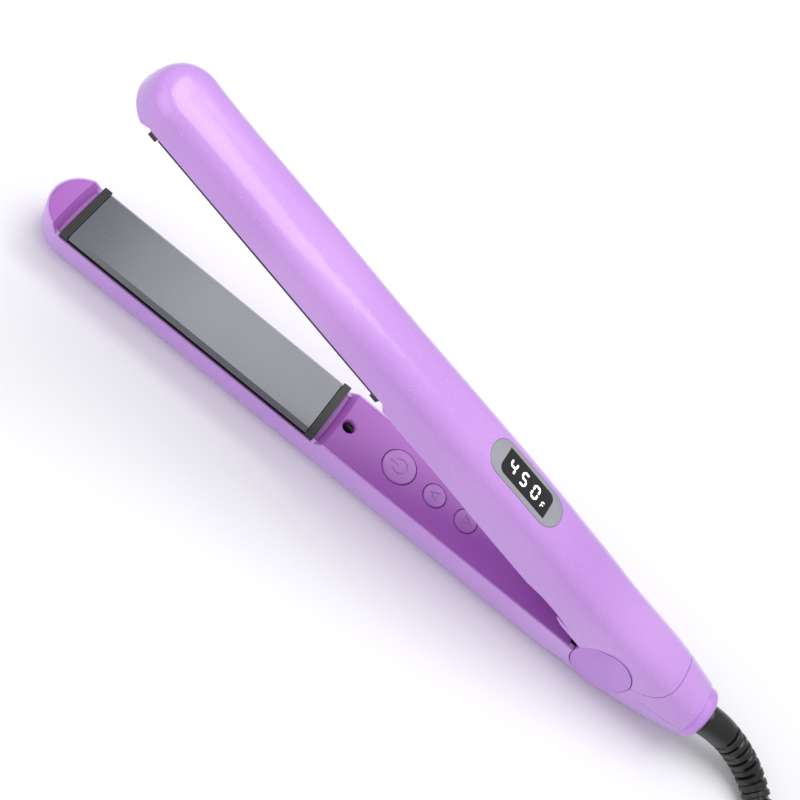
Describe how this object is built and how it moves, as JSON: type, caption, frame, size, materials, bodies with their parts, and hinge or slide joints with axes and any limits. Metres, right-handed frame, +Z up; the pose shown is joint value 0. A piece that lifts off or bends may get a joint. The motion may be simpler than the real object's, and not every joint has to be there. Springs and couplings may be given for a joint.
{
  "type": "flat iron hair straightener",
  "caption": "Flat iron hair straightener with two hinged arms, floating heated plates, push buttons, a temperature display and a swivelling mains cord.",
  "frame": {"origin": "centre of the flat iron's bounding box at its base, on the flat back of the lower arm", "axes": "+X along the lower arm from the tips to the cord, +Y across the arms to the far side, +Z up, away from the surface it lies on"},
  "size_m": [0.497, 0.061, 0.1057],
  "materials": {
    "pearl_shell": "pearl paint under clear lacquer",
    "violet_face": "fine satin",
    "violet_button": "satin",
    "plate_coat": "dark ceramic coat",
    "black_resin": "satin, heat resistant",
    "alumina": "fired ceramic",
    "spring_steel": "bright",
    "mica": "layered sheet",
    "bead_glass": "clear bead",
    "silicone": "matte",
    "circuit_board": "solder resist",
    "switch_resin": "moulded",
    "white_nylon": "moulded",
    "wire_sleeve": "woven sleeve",
    "grey_bezel": "satin",
    "smoked_window": "polished",
    "cord_vinyl": "satin",
    "hook_tape": "woven",
    "plug_brass": "polished"
  },
  "bodies": {
    "lower_arm": {"lower_shell": "pearl_shell", "lower_tip_cover": "violet_face", "lower_handle_face": "violet_face", "lower_plate_frame": "black_resin", "lower_cushions": "silicone", "lower_heat_shield": "mica", "control_board": "circuit_board", "tact_switches": "switch_resin", "board_parts": "switch_resin", "terminal_block": "white_nylon", "mains_leads": "wire_sleeve", "lower_heater_leads": "wire_sleeve", "hinge_pin": "spring_steel", "hinge_cap_near": "pearl_shell", "hinge_cap_far": "pearl_shell", "hinge_spring": "spring_steel", "lower_screws": "spring_steel", "tail_ring": "pearl_shell"},
    "upper_arm": {"upper_shell": "pearl_shell", "upper_tip_cover": "violet_face", "upper_handle_face": "violet_face", "upper_plate_frame": "black_resin", "upper_cushions": "silicone", "upper_heat_shield": "mica", "upper_heater_leads": "wire_sleeve", "display_bezel": "grey_bezel", "display_window": "smoked_window", "display_board": "circuit_board", "guide_pin": "spring_steel", "hinge_hub": "white_nylon", "upper_screws": "spring_steel"},
    "lower_plate_unit": {"lower_plate": "plate_coat", "lower_heater": "alumina", "lower_heater_clamp": "spring_steel", "lower_thermistor": "bead_glass"},
    "upper_plate_unit": {"upper_plate": "plate_coat", "upper_heater": "alumina", "upper_heater_clamp": "spring_steel", "upper_thermistor": "bead_glass"},
    "power_key": {"power_button": "violet_button"},
    "up_key": {"up_button": "violet_button"},
    "down_key": {"down_button": "violet_button"},
    "cord_end": {"swivel_barrel": "black_resin", "strain_relief": "cord_vinyl", "power_cord": "cord_vinyl", "cord_hank": "cord_vinyl", "cord_tie": "hook_tape", "plug_body": "cord_vinyl", "plug_blades": "plug_brass"}
  },
  "joints": [
    {"name": "arm_hinge", "type": "hinge", "parent": "lower_arm", "child": "upper_arm", "pos_m": [0.1035, 0, 0.0173], "axis": [0, -1, 0], "range_deg": [0, 18], "stiffness_Nm_per_rad": 0.3, "springref_deg": -57.3, "deforming": ["hinge_spring"]},
    {"name": "lower_plate_float", "type": "slide", "parent": "lower_arm", "child": "lower_plate_unit", "axis": [0, 0, -1], "range_m": [0, 0.0008], "stiffness_N_per_m": 3000, "springref_m": -0.0005},
    {"name": "upper_plate_float", "type": "slide", "parent": "upper_arm", "child": "upper_plate_unit", "axis": [0.309, 0, 0.9511], "range_m": [0, 0.0008], "stiffness_N_per_m": 3000, "springref_m": -0.0005},
    {"name": "power_press", "type": "slide", "parent": "lower_arm", "child": "power_key", "axis": [0, 0, -1], "range_m": [0, 0.0007], "stiffness_N_per_m": 800, "springref_m": -0.0003},
    {"name": "up_press", "type": "slide", "parent": "lower_arm", "child": "up_key", "axis": [0, 0, -1], "range_m": [0, 0.0007], "stiffness_N_per_m": 800, "springref_m": -0.0003},
    {"name": "down_press", "type": "slide", "parent": "lower_arm", "child": "down_key", "axis": [0, 0, -1], "range_m": [0, 0.0007], "stiffness_N_per_m": 800, "springref_m": -0.0003},
    {"name": "cord_swivel", "type": "hinge", "parent": "lower_arm", "child": "cord_end", "pos_m": [0.1445, 0, 0.0153], "axis": [1, 0, 0], "continuous": true}
  ]
}
